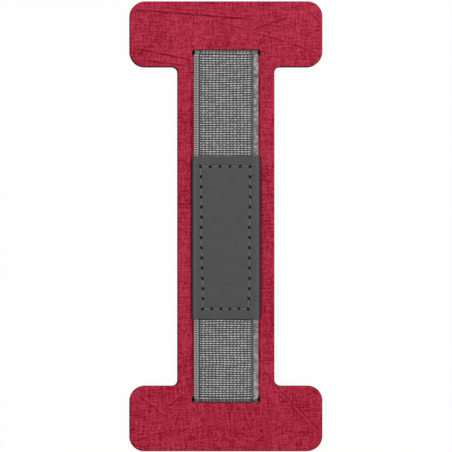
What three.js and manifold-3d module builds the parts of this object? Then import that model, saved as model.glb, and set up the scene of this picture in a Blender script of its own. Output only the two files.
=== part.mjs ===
// Hand strap for the back of an e-reader. A stiff flat plate, shaped like a capital I, carries a woven
// elastic band that comes up through a slot near each end, and a leather grip is sewn round the band.
// Millimetres. The strap lies on its back: +Z is out of its face, +Y is along the plate, and the origin
// is the middle of the back face.
import * as THREE from "three";
import { mergeVertices } from "three/addons/utils/BufferGeometryUtils.js";
import Module from "manifold-3d";

// Outline of the plate, all its layers alike
const PLATE_LENGTH = 150;
const FLANGE_WIDTH = 64.2;
const FLANGE_LENGTH = 21.9;
const WEB_WIDTH = 32.2;
const OUTER_CORNER_RADIUS = 5;
const INNER_CORNER_RADIUS = 2;
const CORNER_SEGMENTS = 3;

// Layers of the plate: the board between them is as thick as the band that it houses
const BACKING_THICKNESS = 0.6;
const BACKING_RIM_RADIUS = 0.3;
const COVER_THICKNESS = 0.8;
const COVER_RIM_RADIUS = 0.4;
const RIM_SEGMENTS = 2;

// Slots in the cover and the windows under them
const SLOT_INSET = 17.3;
const SLOT_CORNER_RADIUS = 0.8;
const SLOT_CORNER_MAX_SHARE = 0.45;
const SLOT_END_CLEARANCE = 0.55;
const SLOT_SLACK = 0.09;
const WINDOW_CLEARANCE = 0.3;
const TAIL_TO_PLATE_END = 4;

// Elastic band
const BAND_WIDTH = 21.8;
const BAND_THICKNESS = 1;
const BAND_REST_GAP = 0.3;
const BEND_INNER_RADIUS = 0.4;
const BEND_ANGLE = THREE.MathUtils.degToRad(65);
const BEND_STEPS = 5;
const SELVAGE_WIDTH = 1.7;
const SELVAGE_GROOVE_WIDTH = 0.25;
const SELVAGE_GROOVE_DEPTH = 0.22;
const RIB_PITCH = 0.76;
const RIB_DEPTH = 0.15;

// Grip sleeve
const SLEEVE_LENGTH = 54.2;
const SLEEVE_OFFSET = -3.84;
const SLEEVE_LEATHER = 0.55;
const SLEEVE_SIDE_CLEARANCE = 0.05;
const SLEEVE_SIDE_ROUND = 1.5;
const SLEEVE_BUTT_GAP = 0.3;
const SLEEVE_RAMP = 4.5;

// Seam of the sleeve
const SEAM_WIDTH = 16.5;
const SEAM_SIDE_SHIFT = -0.35;
const SEAM_END_MARGIN = 3.45;
const STITCH_LENGTH = 3.35;
const THREAD_RADIUS = 0.2;
const THREAD_CLEARANCE = 0.06;
const THREAD_LOCK_GAP = 0.1;
const THREAD_END_SHARE = 0.02;
const THREAD_BED_FLOOR = 0.05;
const NEEDLE_RUN_PIECES = 3;
const BOBBIN_RUN_PIECES = 2;

// Heights of the faces, from the back of the plate up
const boardLow = BACKING_THICKNESS;
const boardHigh = boardLow + BAND_THICKNESS;
const plateTop = boardHigh + COVER_THICKNESS;
const sleeveLow = plateTop + BAND_REST_GAP;
const sleeveHigh = sleeveLow + 2 * SLEEVE_LEATHER + BAND_THICKNESS;
const tailMiddle = (boardLow + boardHigh) / 2;
const faceMiddle = plateTop + BAND_REST_GAP + BAND_THICKNESS / 2;
const sleeveMiddle = (sleeveLow + sleeveHigh) / 2;

// The band climbs through each slot on two equal bends with a short straight between them
const plateEnd = PLATE_LENGTH / 2;
const bendRadius = BEND_INNER_RADIUS + BAND_THICKNESS / 2;
const climb = faceMiddle - tailMiddle;
const climbStraight = (climb - 2 * bendRadius * (1 - Math.cos(BEND_ANGLE))) / Math.sin(BEND_ANGLE);
const climbRun = 2 * bendRadius * Math.sin(BEND_ANGLE) + climbStraight * Math.cos(BEND_ANGLE);
const slotCentre = plateEnd - SLOT_INSET;
const slotLength = BAND_WIDTH + 2 * SLOT_END_CLEARANCE;
const slotWidth = climbRun + 2 * SLOT_SLACK;
const climbTop = slotCentre - climbRun / 2;
const climbFoot = slotCentre + climbRun / 2;
const tailEnd = plateEnd - TAIL_TO_PLATE_END;

const sleeveTopEnd = SLEEVE_OFFSET + SLEEVE_LENGTH / 2;
const sleeveBottomEnd = SLEEVE_OFFSET - SLEEVE_LENGTH / 2;
const sleeveHalfWidth = BAND_WIDTH / 2 + SLEEVE_SIDE_CLEARANCE + SLEEVE_LEATHER;

// A stitch is pulled down at both ends, as deep as the leather under it allows
const threadBedRadius = THREAD_RADIUS + THREAD_CLEARANCE;
const stitchDip = SLEEVE_LEATHER - threadBedRadius - THREAD_BED_FLOOR;

const wasm = await Module();
wasm.setup();

// Turns a closed geometry into a solid that can be joined and cut.
function solidOf(geometry) {
  const bare = geometry.clone();
  bare.deleteAttribute("normal");
  bare.deleteAttribute("uv");
  const merged = mergeVertices(bare, 1e-4);
  const mesh = new wasm.Mesh({
    numProp: 3,
    vertProperties: merged.attributes.position.array,
    triVerts: new Uint32Array(merged.index.array),
  });
  return new wasm.Manifold(mesh);
}

// Turns a solid back into a geometry with flat faces.
function geometryOf(solid) {
  const mesh = solid.getMesh();
  const geometry = new THREE.BufferGeometry();
  geometry.setAttribute("position", new THREE.BufferAttribute(mesh.vertProperties, 3));
  geometry.setIndex(new THREE.BufferAttribute(mesh.triVerts, 1));
  const faceted = geometry.toNonIndexed();
  faceted.computeVertexNormals();
  return faceted;
}

function joinAll(solids) {
  return solids.reduce((joined, solid) => joined.add(solid));
}

// A block between two corners.
function block(low, high) {
  const size = new THREE.Vector3().subVectors(high, low);
  const centre = new THREE.Vector3().addVectors(low, high).multiplyScalar(0.5);
  const geometry = new THREE.BoxGeometry(size.x, size.y, size.z);
  geometry.translate(centre.x, centre.y, centre.z);
  return solidOf(geometry);
}

// An outline of right-angled corners, each given as x, y and the radius that rounds it, in order.
function roundedOutline(corners) {
  const outline = new THREE.Shape();
  corners.forEach(([x, y, radius], index) => {
    const corner = new THREE.Vector2(x, y);
    const before = new THREE.Vector2(...corners.at(index - 1));
    const after = new THREE.Vector2(...corners[(index + 1) % corners.length]);
    const inward = corner.clone().sub(before).normalize();
    const outward = after.sub(corner).normalize();
    const start = corner.clone().addScaledVector(inward, -radius);
    const end = corner.clone().addScaledVector(outward, radius);
    const centre = start.clone().addScaledVector(outward, radius);
    const fromCentre = start.clone().sub(centre);
    const toCentre = end.clone().sub(centre);
    const turnsRight = inward.cross(outward) < 0;
    outline.absarc(centre.x, centre.y, radius, fromCentre.angle(), toCentre.angle(), turnsRight);
  });
  outline.closePath();
  return outline;
}

// A rectangle with rounded corners.
function roundedRectangle(left, right, bottom, top, radius) {
  return roundedOutline([
    [left, bottom, radius],
    [right, bottom, radius],
    [right, top, radius],
    [left, top, radius],
  ]);
}

function plateOutline() {
  const flange = FLANGE_WIDTH / 2;
  const web = WEB_WIDTH / 2;
  const shoulder = plateEnd - FLANGE_LENGTH;
  const quarter = [
    [flange, plateEnd, OUTER_CORNER_RADIUS],
    [flange, shoulder, OUTER_CORNER_RADIUS],
    [web, shoulder, INNER_CORNER_RADIUS],
  ];
  const mirrored = (signX, signY) => quarter.map(([x, y, radius]) => [signX * x, signY * y, radius]);
  return roundedOutline([
    ...mirrored(1, -1),
    ...mirrored(1, 1).reverse(),
    ...mirrored(-1, 1),
    ...mirrored(-1, -1).reverse(),
  ]);
}

// A flat layer with straight edges.
function flatLayer(outline, low, high) {
  const geometry = new THREE.ExtrudeGeometry(outline, {
    depth: high - low,
    bevelEnabled: false,
    curveSegments: CORNER_SEGMENTS,
  });
  geometry.translate(0, 0, low);
  return solidOf(geometry);
}

// An outer layer of the plate: both rims of a thicker blank are rounded, and the inner one is cut off.
function outerLayer(low, high, rimRadius, facesUp) {
  const blank = new THREE.ExtrudeGeometry(plateOutline(), {
    depth: high - low,
    bevelEnabled: true,
    bevelThickness: rimRadius,
    bevelSize: rimRadius,
    bevelOffset: -rimRadius,
    bevelSegments: RIM_SEGMENTS,
    curveSegments: CORNER_SEGMENTS,
  });
  blank.translate(0, 0, facesUp ? low - rimRadius : low + rimRadius);
  const cut = facesUp ? [low - PLATE_LENGTH, low] : [high, high + PLATE_LENGTH];
  const waste = block(
    new THREE.Vector3(-PLATE_LENGTH, -PLATE_LENGTH, cut[0]),
    new THREE.Vector3(PLATE_LENGTH, PLATE_LENGTH, cut[1]),
  );
  return solidOf(blank).subtract(waste);
}

function bothEnds(makeAt) {
  return [1, -1].map(makeAt);
}

function makeBacking() {
  return outerLayer(0, boardLow, BACKING_RIM_RADIUS, false);
}

// The cover has a round-cornered slot near each end, where the band comes up.
function makeCover() {
  const slots = bothEnds((end) => {
    const low = end * slotCentre - slotWidth / 2;
    const high = end * slotCentre + slotWidth / 2;
    const corner = Math.min(SLOT_CORNER_RADIUS, SLOT_CORNER_MAX_SHARE * slotWidth);
    const outline = roundedRectangle(-slotLength / 2, slotLength / 2, low, high, corner);
    return flatLayer(outline, boardHigh - COVER_THICKNESS, plateTop + COVER_THICKNESS);
  });
  return outerLayer(boardHigh, plateTop, COVER_RIM_RADIUS, true).subtract(joinAll(slots));
}

// The board has a window under each slot, in which the tail of the band lies.
function makeBoard() {
  const outline = plateOutline();
  const side = BAND_WIDTH / 2 + WINDOW_CLEARANCE;
  const inner = slotCentre - slotWidth / 2;
  const outer = tailEnd + WINDOW_CLEARANCE;
  const corner = WINDOW_CLEARANCE;
  outline.holes.push(roundedRectangle(-side, side, inner, outer, corner));
  outline.holes.push(roundedRectangle(-side, side, -outer, -inner, corner));
  return flatLayer(outline, boardLow, boardHigh);
}

// Half of the band's middle line, from the middle of the sleeve to the end of one tail, as a path of
// distance along the plate and height: level in the sleeve, down to the plate, along it, through the
// slot on two bends, and level again in the window.
function bandPath(sleeveEnd) {
  const path = new THREE.Path();
  const rampEnd = sleeveEnd + SLEEVE_RAMP;
  const rampMiddle = (sleeveEnd + rampEnd) / 2;
  const up = Math.PI / 2;
  path.moveTo(sleeveEnd, sleeveMiddle);
  path.bezierCurveTo(rampMiddle, sleeveMiddle, rampMiddle, faceMiddle, rampEnd, faceMiddle);
  path.lineTo(climbTop, faceMiddle);
  path.absarc(climbTop, faceMiddle - bendRadius, bendRadius, up, up - BEND_ANGLE, true);
  path.absarc(climbFoot, tailMiddle + bendRadius, bendRadius, -up - BEND_ANGLE, -up, false);
  path.lineTo(tailEnd, tailMiddle);
  return path;
}

// A point beside the band's middle line, at a height over it on one of its two faces.
function beside(point, tangent, side, height) {
  const normal = new THREE.Vector2(-tangent.y, tangent.x);
  return point.addScaledVector(normal, side * height);
}

// A smooth face of half the band, with points only where its line bends.
function smoothFace(path, side, halfThickness) {
  const start = beside(path.getPoint(0), path.getTangent(0), side, halfThickness);
  const rest = path.curves.flatMap((curve) => {
    const steps = curve.isLineCurve ? 1 : BEND_STEPS;
    return Array.from({ length: steps }, (_, index) => {
      const at = (index + 1) / steps;
      return beside(curve.getPoint(at), curve.getTangent(at), side, halfThickness);
    });
  });
  return [start, ...rest];
}

// A ribbed face of half the band, with its ribs on the open stretch between the sleeve and the tail.
// A rib is a list of places along its pitch, each with how high the face stands there.
function ribbedFace(path, side, halfThickness, rib) {
  const length = path.getLength();
  const open = length - (tailEnd - climbFoot);
  const ribs = Math.round(open / RIB_PITCH);
  const place = (distance, height) => {
    const at = Math.min(distance / length, 1);
    return beside(path.getPoint(at), path.getTangent(at), side, height);
  };
  const face = [place(0, halfThickness)];
  for (let index = 0; index < ribs; index += 1) {
    rib.forEach(([share, rise]) => {
      face.push(place((open * (index + share)) / ribs, halfThickness - RIB_DEPTH * (1 - rise)));
    });
  }
  face.push(place(open, halfThickness), place(length, halfThickness));
  return face;
}

const FRONT_RIB = [
  [0.1, 0],
  [0.3, 1],
  [0.7, 1],
  [0.9, 0],
];
const BACK_RIB = [
  [0.25, 0],
  [0.75, 1],
];
const SELVAGE_LOOP = [
  [0.25, 1],
  [0.75, 0],
];

// A strip of the whole band between two places across its width, with the same section all along it.
function bandStrip(left, right, makeFront, makeBack) {
  const [upper, lower] = [sleeveTopEnd, -sleeveBottomEnd].map((sleeveEnd) => {
    const path = bandPath(sleeveEnd);
    return { front: makeFront(path, 1), back: makeBack(path, -1) };
  });
  const flipped = (points) => points.map((point) => new THREE.Vector2(-point.x, point.y));
  const section = new THREE.Shape([
    ...upper.back,
    ...upper.front.reverse(),
    ...flipped(lower.front),
    ...flipped(lower.back).reverse(),
  ]);
  const geometry = new THREE.ExtrudeGeometry(section, {
    depth: right - left,
    bevelEnabled: false,
  });
  const across = new THREE.Matrix4().makeBasis(
    new THREE.Vector3(0, 1, 0),
    new THREE.Vector3(0, 0, 1),
    new THREE.Vector3(1, 0, 0),
  );
  geometry.applyMatrix4(across);
  geometry.translate(left, 0, 0);
  return solidOf(geometry);
}

// The band is one weave: a ribbed body, a groove on each side of it, and a looped selvage at each edge.
function makeBand(needleHoles) {
  const edge = BAND_WIDTH / 2;
  const groove = edge - SELVAGE_WIDTH;
  const body = groove - SELVAGE_GROOVE_WIDTH;
  const half = BAND_THICKNESS / 2;
  const ribs = (rib) => (path, side) => ribbedFace(path, side, half, rib);
  const smooth = (height) => (path, side) => smoothFace(path, side, height);
  const core = smooth(half - SELVAGE_GROOVE_DEPTH);
  return joinAll([
    bandStrip(-groove, groove, core, core),
    bandStrip(-body, body, ribs(FRONT_RIB), ribs(BACK_RIB)),
    bandStrip(-edge, -groove, ribs(SELVAGE_LOOP), smooth(half)),
    bandStrip(groove, edge, ribs(SELVAGE_LOOP), smooth(half)),
  ]).subtract(needleHoles);
}

// The sleeve is one strip of leather wrapped round the band, with its edges butted along the back.
function makeSleeve(threadBeds) {
  const side = sleeveHalfWidth - SLEEVE_SIDE_ROUND;
  const halfHeight = (sleeveHigh - sleeveLow) / 2;
  const quarterTurn = Math.PI / 2;
  const slit = SLEEVE_BUTT_GAP / 2;
  const hollow = BAND_WIDTH / 2 + SLEEVE_SIDE_CLEARANCE;
  const inner = BAND_THICKNESS / 2;
  const section = new THREE.Shape();
  section.moveTo(slit, -halfHeight);
  section.absellipse(side, 0, SLEEVE_SIDE_ROUND, halfHeight, -quarterTurn, quarterTurn, false, 0);
  section.absellipse(-side, 0, SLEEVE_SIDE_ROUND, halfHeight, quarterTurn, 3 * quarterTurn, false, 0);
  section.lineTo(-slit, -halfHeight);
  section.lineTo(-slit, -inner);
  section.lineTo(-hollow, -inner);
  section.lineTo(-hollow, inner);
  section.lineTo(hollow, inner);
  section.lineTo(hollow, -inner);
  section.lineTo(slit, -inner);
  section.closePath();
  const geometry = new THREE.ExtrudeGeometry(section, {
    depth: SLEEVE_LENGTH,
    bevelEnabled: false,
    curveSegments: CORNER_SEGMENTS,
  });
  const along = new THREE.Matrix4().makeBasis(
    new THREE.Vector3(1, 0, 0),
    new THREE.Vector3(0, 0, 1),
    new THREE.Vector3(0, -1, 0),
  );
  geometry.applyMatrix4(along);
  geometry.translate(0, sleeveTopEnd, sleeveMiddle);
  return solidOf(geometry).subtract(threadBeds);
}

// The needle holes stand in a rectangle, in the order in which the machine sews them.
function needlePlaces() {
  const left = SEAM_SIDE_SHIFT - SEAM_WIDTH / 2;
  const right = SEAM_SIDE_SHIFT + SEAM_WIDTH / 2;
  const bottom = sleeveBottomEnd + SEAM_END_MARGIN;
  const top = sleeveTopEnd - SEAM_END_MARGIN;
  const corners = [
    new THREE.Vector2(left, bottom),
    new THREE.Vector2(right, bottom),
    new THREE.Vector2(right, top),
    new THREE.Vector2(left, top),
  ];
  return corners.flatMap((corner, index) => {
    const next = corners[(index + 1) % corners.length];
    const stitches = Math.max(1, Math.round(corner.distanceTo(next) / STITCH_LENGTH));
    return Array.from({ length: stitches }, (_, step) => corner.clone().lerp(next, step / stitches));
  });
}

// The middle line of one thread: round all the needle holes and pulled into the leather at each one.
// It is measured in stitches and not in length, so that every stitch gets the same straight pieces.
class ThreadPath extends THREE.Curve {
  constructor(places, face, into, pieces) {
    super();
    Object.assign(this, { places, face, into, pieces });
  }

  getPoint(share) {
    const count = this.places.length;
    const along = share * count;
    const stitch = along % 1;
    const from = this.places[Math.floor(along) % count];
    const to = this.places[Math.ceil(along) % count];
    const place = from.clone().lerp(to, stitch);
    const slope = Math.max(0, 1 - this.pieces * Math.min(stitch, 1 - stitch));
    return new THREE.Vector3(place.x, place.y, this.face + this.into * stitchDip * slope);
  }

  getPointAt(share) {
    const end = THREAD_END_SHARE / this.places.length;
    return this.getPoint(THREE.MathUtils.clamp(share, end, 1 - end));
  }

  getTangentAt(share) {
    return this.getTangent(share);
  }
}

// The run of a thread along one face of the sleeve, and the same run made wider as the bed for it.
function threadRun(face, into, radius, pieces) {
  const places = needlePlaces();
  const section = new THREE.Shape([
    new THREE.Vector2(radius, 0),
    new THREE.Vector2(0, radius),
    new THREE.Vector2(-radius, 0),
    new THREE.Vector2(0, -radius),
  ]);
  const run = new THREE.ExtrudeGeometry(section, {
    steps: places.length * pieces,
    extrudePath: new ThreadPath(places, face, into, pieces),
    bevelEnabled: false,
  });
  return solidOf(run);
}

// A square-sided upright at every needle hole: the legs of a thread, or the holes that they pass.
function uprights(low, high, radius) {
  const posts = needlePlaces().map((place) => {
    const post = new THREE.CylinderGeometry(radius, radius, high - low, 4);
    post.rotateX(Math.PI / 2);
    post.translate(place.x, place.y, (low + high) / 2);
    return solidOf(post);
  });
  return joinAll(posts);
}

// The needle thread runs on the front, and its legs reach down to where it locks with the other one.
function makeNeedleThread() {
  const legs = uprights(sleeveMiddle + THREAD_LOCK_GAP / 2, sleeveHigh - stitchDip, THREAD_RADIUS);
  return threadRun(sleeveHigh, -1, THREAD_RADIUS, NEEDLE_RUN_PIECES).add(legs);
}

// The bobbin thread runs on the back.
function makeBobbinThread() {
  const legs = uprights(sleeveLow + stitchDip, sleeveMiddle - THREAD_LOCK_GAP / 2, THREAD_RADIUS);
  return threadRun(sleeveLow, 1, THREAD_RADIUS, BOBBIN_RUN_PIECES).add(legs);
}

function piece(name, solid, color, roughness) {
  const material = new THREE.MeshStandardMaterial({ color, roughness, metalness: 0 });
  const mesh = new THREE.Mesh(geometryOf(solid), material);
  mesh.name = name;
  return mesh;
}

const needleHoles = uprights(sleeveLow + stitchDip, sleeveHigh - stitchDip, threadBedRadius);
const threadBeds = joinAll([
  threadRun(sleeveHigh, -1, threadBedRadius, NEEDLE_RUN_PIECES),
  threadRun(sleeveLow, 1, threadBedRadius, BOBBIN_RUN_PIECES),
  needleHoles,
]);

const plate = new THREE.Group();
plate.add(
  piece("backing_sheet", makeBacking(), 0x1d1c1e, 0.95),
  piece("stiffener_board", makeBoard(), 0x2a2627, 0.9),
  piece("cover_panel", makeCover(), 0xa3273c, 0.6),
);

const strap = new THREE.Group();
strap.add(
  piece("elastic_band", makeBand(needleHoles), 0x747474, 0.85),
  piece("grip_sleeve", makeSleeve(threadBeds), 0x515151, 0.6),
  piece("needle_thread", makeNeedleThread(), 0x8a8a8a, 0.7),
  piece("bobbin_thread", makeBobbinThread(), 0x8a8a8a, 0.7),
);

const handStrap = new THREE.Group();
handStrap.add(plate, strap);

export default handStrap;
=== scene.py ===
"""The looks of an e-reader hand strap: an I-shaped plate of coated leather on a board, a woven elastic band
that comes up through its two slots, and a leather grip sewn round the band. Lengths are in millimetres until
a mesh is made, and the strap lies on its back with its face up and its length along Y."""
import math

import bmesh
import bpy
import numpy as np
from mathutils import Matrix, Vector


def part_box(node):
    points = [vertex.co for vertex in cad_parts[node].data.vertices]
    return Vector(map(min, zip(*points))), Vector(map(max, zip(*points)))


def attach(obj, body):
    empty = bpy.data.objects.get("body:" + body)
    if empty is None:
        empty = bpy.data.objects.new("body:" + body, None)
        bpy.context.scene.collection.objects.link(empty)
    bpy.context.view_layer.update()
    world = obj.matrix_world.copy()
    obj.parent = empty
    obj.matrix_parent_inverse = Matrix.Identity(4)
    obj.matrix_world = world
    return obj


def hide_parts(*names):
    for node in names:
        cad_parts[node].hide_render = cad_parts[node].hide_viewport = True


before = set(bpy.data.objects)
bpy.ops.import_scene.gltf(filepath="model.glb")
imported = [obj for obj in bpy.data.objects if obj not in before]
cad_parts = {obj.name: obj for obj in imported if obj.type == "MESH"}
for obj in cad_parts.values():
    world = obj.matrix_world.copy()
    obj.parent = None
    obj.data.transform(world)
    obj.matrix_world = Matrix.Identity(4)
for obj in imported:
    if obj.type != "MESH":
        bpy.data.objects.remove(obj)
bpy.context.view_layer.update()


# The backing sheet closes the plate from behind. It is a thin black microfibre lining, cut to the outline of
# the plate and glued over the board and the tails of the band, with its outer rim pressed round.
METRE = 0.001
FLANGE_LENGTH = 21.8
WEB_WIDTH = 32.2
OUTER_CORNER = 5
INNER_CORNER = 2
BACKING_RIM = 0.3
BACKING_GRID = 0.5
RIM_RINGS = 4
# How far the black layers are moved left and down, so that their edge shows past the cover as a painted
# shadow line
SHADE_LINE_SHIFT = (-0.26, -0.16)
NAP_RELIEF = 0.012
BACKING_COLOUR = (30, 29, 31)
BACKING_LINT = (52, 50, 52)


def node_box(node):
    """Lowest and highest corner of a CAD node, in millimetres."""
    return [np.array(corner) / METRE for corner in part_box(node)]


def paint(red, green, blue):
    """A screen colour, of 0 to 255 each, as the linear colour of a shader socket."""
    screen = np.array([red, green, blue]) / 255
    linear = np.where(screen <= 0.04045, screen / 12.92, ((screen + 0.055) / 1.055) ** 2.4)
    return (*linear.tolist(), 1)


backing_low, backing_high = node_box("backing_sheet")
plate_half_width, plate_half_length = backing_high[:2]


def rounded_box(x, y, half_width, half_length, radius):
    """Distance from a rectangle with round corners about the origin, less than nothing inside it: the length
    of what sticks out past the corner's centre, less the radius."""
    over_x = abs(x) - half_width + radius
    over_y = abs(y) - half_length + radius
    outside = np.hypot(np.maximum(over_x, 0), np.maximum(over_y, 0))
    return outside + np.minimum(np.maximum(over_x, over_y), 0) - radius


def plate_distance(x, y):
    """Distance from the outline of the plate: a round-cornered flange and a web, folded over both middle
    lines, and joined by a fillet, which is the circle that lies one inner radius from both of them."""
    flange_middle = plate_half_length - FLANGE_LENGTH / 2
    flange = rounded_box(x, abs(y) - flange_middle, plate_half_width, FLANGE_LENGTH / 2, OUTER_CORNER)
    web = np.maximum(abs(x) - WEB_WIDTH / 2, abs(y) - flange_middle)
    to_circle = np.hypot(np.maximum(INNER_CORNER - flange, 0), np.maximum(INNER_CORNER - web, 0))
    return np.maximum(INNER_CORNER, np.minimum(flange, web)) - to_circle


def random_field(shape, spacing, blur_x, blur_y, draw):
    """Seeded noise on a grid, blurred by a bell with these widths along x and y, as a product of the two
    spectra, and scaled to a mean of nought and a spread of one."""
    across = np.fft.rfftfreq(shape[1], spacing) * blur_x
    along = np.fft.fftfreq(shape[0], spacing)[:, None] * blur_y
    bell = np.exp(-2 * math.pi**2 * (across**2 + along**2))
    field = np.fft.irfft2(np.fft.rfft2(draw.standard_normal(shape)) * bell, s=shape)
    return (field - field.mean()) / field.std()


def fill_loops(points, edges, normal):
    """Triangles, as rows of point numbers, that fill the flat face inside these closed loops of edges."""
    sketch = bmesh.new()
    corners = [sketch.verts.new(point) for point in points]
    lines = [sketch.edges.new((corners[start], corners[end])) for start, end in edges]
    sketch.verts.index_update()
    bmesh.ops.triangle_fill(sketch, edges=lines, normal=normal, use_beauty=True)
    triangles = [[vertex.index for vertex in face.verts] for face in sketch.faces]
    sketch.free()
    return np.array(triangles)


def cut_layer(outline, face, back, spacing, relief):
    """Points, faces and point attributes of a flat layer cut to an outline, whose function gives the distance
    from the edge of the flat face and the radius of the rim there. The face is a square grid of the cells
    whose middles lie inside. Its outer points slide down the slope of the distance onto the edge. From there
    rings follow a quarter circle outwards, the last one drops to the back, and the back is filled flat."""
    columns = math.ceil(plate_half_width / spacing) + 1
    rows = math.ceil(plate_half_length / spacing) + 1
    x, y = np.meshgrid(np.arange(-columns, columns + 1) * spacing, np.arange(-rows, rows + 1) * spacing)
    height, marks = relief(x, y, spacing)
    inside = outline(x[1:, 1:] - spacing / 2, y[1:, 1:] - spacing / 2)[0] < 0
    near = np.pad(inside, 1)
    cells_round = near[1:, 1:].astype(int) + near[:-1, 1:] + near[1:, :-1] + near[:-1, :-1]
    used = cells_round > 0
    number = np.cumsum(used).reshape(used.shape) - 1
    upward = 1 if face > back else -1

    def slope(px, py):
        step = spacing / 20
        across = outline(px + step, py)[0] - outline(px - step, py)[0]
        along = outline(px, py + step)[0] - outline(px, py - step)[0]
        return np.stack([across, along], 1) / np.maximum(np.hypot(across, along), 1e-9)[:, None]

    points = np.stack([x[used], y[used], face + upward * height[used]], 1)
    rim = np.flatnonzero(cells_round[used] < 4)
    for _ in range(3):
        distance, _ = outline(points[rim, 0], points[rim, 1])
        points[rim, :2] -= distance[:, None] * slope(points[rim, 0], points[rim, 1])
    radius = outline(points[rim, 0], points[rim, 1])[1]
    outward = slope(points[rim, 0], points[rim, 1])

    turns = np.linspace(0, math.pi / 2, RIM_RINGS + 1)[1:]
    rings = [points[rim]]
    for turn in turns:
        ring = points[rim].copy()
        ring[:, :2] += outward * (radius * math.sin(turn))[:, None]
        fade = 1 - math.sin(turn)
        ring[:, 2] = face + (points[rim, 2] - face) * fade - upward * radius * (1 - math.cos(turn))
        rings.append(ring)
    wall = rings[-1].copy()
    wall[:, 2] = back
    rings.append(wall)

    grid = [number[:-1, :-1], number[:-1, 1:], number[1:, 1:], number[1:, :-1]]
    cells = np.stack([corner[inside] for corner in grid], 1)
    bare = [~near[:-2, 1:-1], ~near[1:-1, 2:], ~near[2:, 1:-1], ~near[1:-1, :-2]]
    starts = np.concatenate([grid[side][inside & bare[side]] for side in range(4)])
    ends = np.concatenate([grid[(side + 1) % 4][inside & bare[side]] for side in range(4)])
    place = np.full(len(points), -1)
    place[rim] = np.arange(len(rim))

    def on_ring(corner, ring):
        return corner if ring == 0 else len(points) + (ring - 1) * len(rim) + place[corner]

    walls = []
    for ring in range(len(rings) - 1):
        upper = [on_ring(ends, ring), on_ring(starts, ring)]
        lower = [on_ring(starts, ring + 1), on_ring(ends, ring + 1)]
        walls.append(np.stack(upper + lower, 1))
    loops = np.stack([place[starts], place[ends]], 1)
    under = len(points) + (len(rings) - 2) * len(rim) + fill_loops(rings[-1], loops, (0, 0, -upward))
    faces = np.concatenate([cells, *walls]).tolist() + under.tolist()
    ring_marks = {name: [mark[used]] + [mark[used][rim]] * (len(rings) - 1) for name, mark in marks.items()}
    rim_marks = np.repeat([0, *np.sin(turns), 1], [len(points)] + [len(rim)] * (len(rings) - 1))
    attributes = {name: np.concatenate(parts) for name, parts in ring_marks.items()}
    return np.concatenate([points, *rings[1:]]), faces, {**attributes, "rim": rim_marks}


def closed_piece(name, points, faces, attributes):
    """A smooth closed mesh object in metres, with a number for each point under each attribute's name."""
    mesh = bpy.data.meshes.new(name)
    mesh.from_pydata((points * METRE).tolist(), [], faces)
    for mark, values in attributes.items():
        layer = mesh.attributes.new(mark, "FLOAT", "POINT")
        layer.data.foreach_set("value", values.astype(np.float32))
    shell = bmesh.new()
    shell.from_mesh(mesh)
    bmesh.ops.remove_doubles(shell, verts=shell.verts, dist=0.004 * METRE)
    bmesh.ops.recalc_face_normals(shell, faces=shell.faces)
    if shell.calc_volume(signed=True) < 0:
        bmesh.ops.reverse_faces(shell, faces=shell.faces)
    shell.to_mesh(mesh)
    shell.free()
    mesh.shade_smooth()
    piece = bpy.data.objects.new(name, mesh)
    bpy.context.scene.collection.objects.link(piece)
    return piece


class Signal:
    """A value on its way through a finish. Arithmetic on it adds Math nodes."""

    def __init__(self, finish, socket):
        self.finish = finish
        self.socket = socket

    def maths(self, operation, *values):
        return self.finish.node("ShaderNodeMath", {"operation": operation}, dict(enumerate(values)))

    def __add__(self, other):
        return self.maths("ADD", self, other)

    def __radd__(self, other):
        return self.maths("ADD", other, self)

    def __sub__(self, other):
        return self.maths("SUBTRACT", self, other)

    def __rsub__(self, other):
        return self.maths("SUBTRACT", other, self)

    def __mul__(self, other):
        return self.maths("MULTIPLY", self, other)

    def __rmul__(self, other):
        return self.maths("MULTIPLY", other, self)

    def clipped(self):
        """The value kept between nought and one."""
        return self.finish.node("ShaderNodeClamp", {}, {"Value": self})


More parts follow.
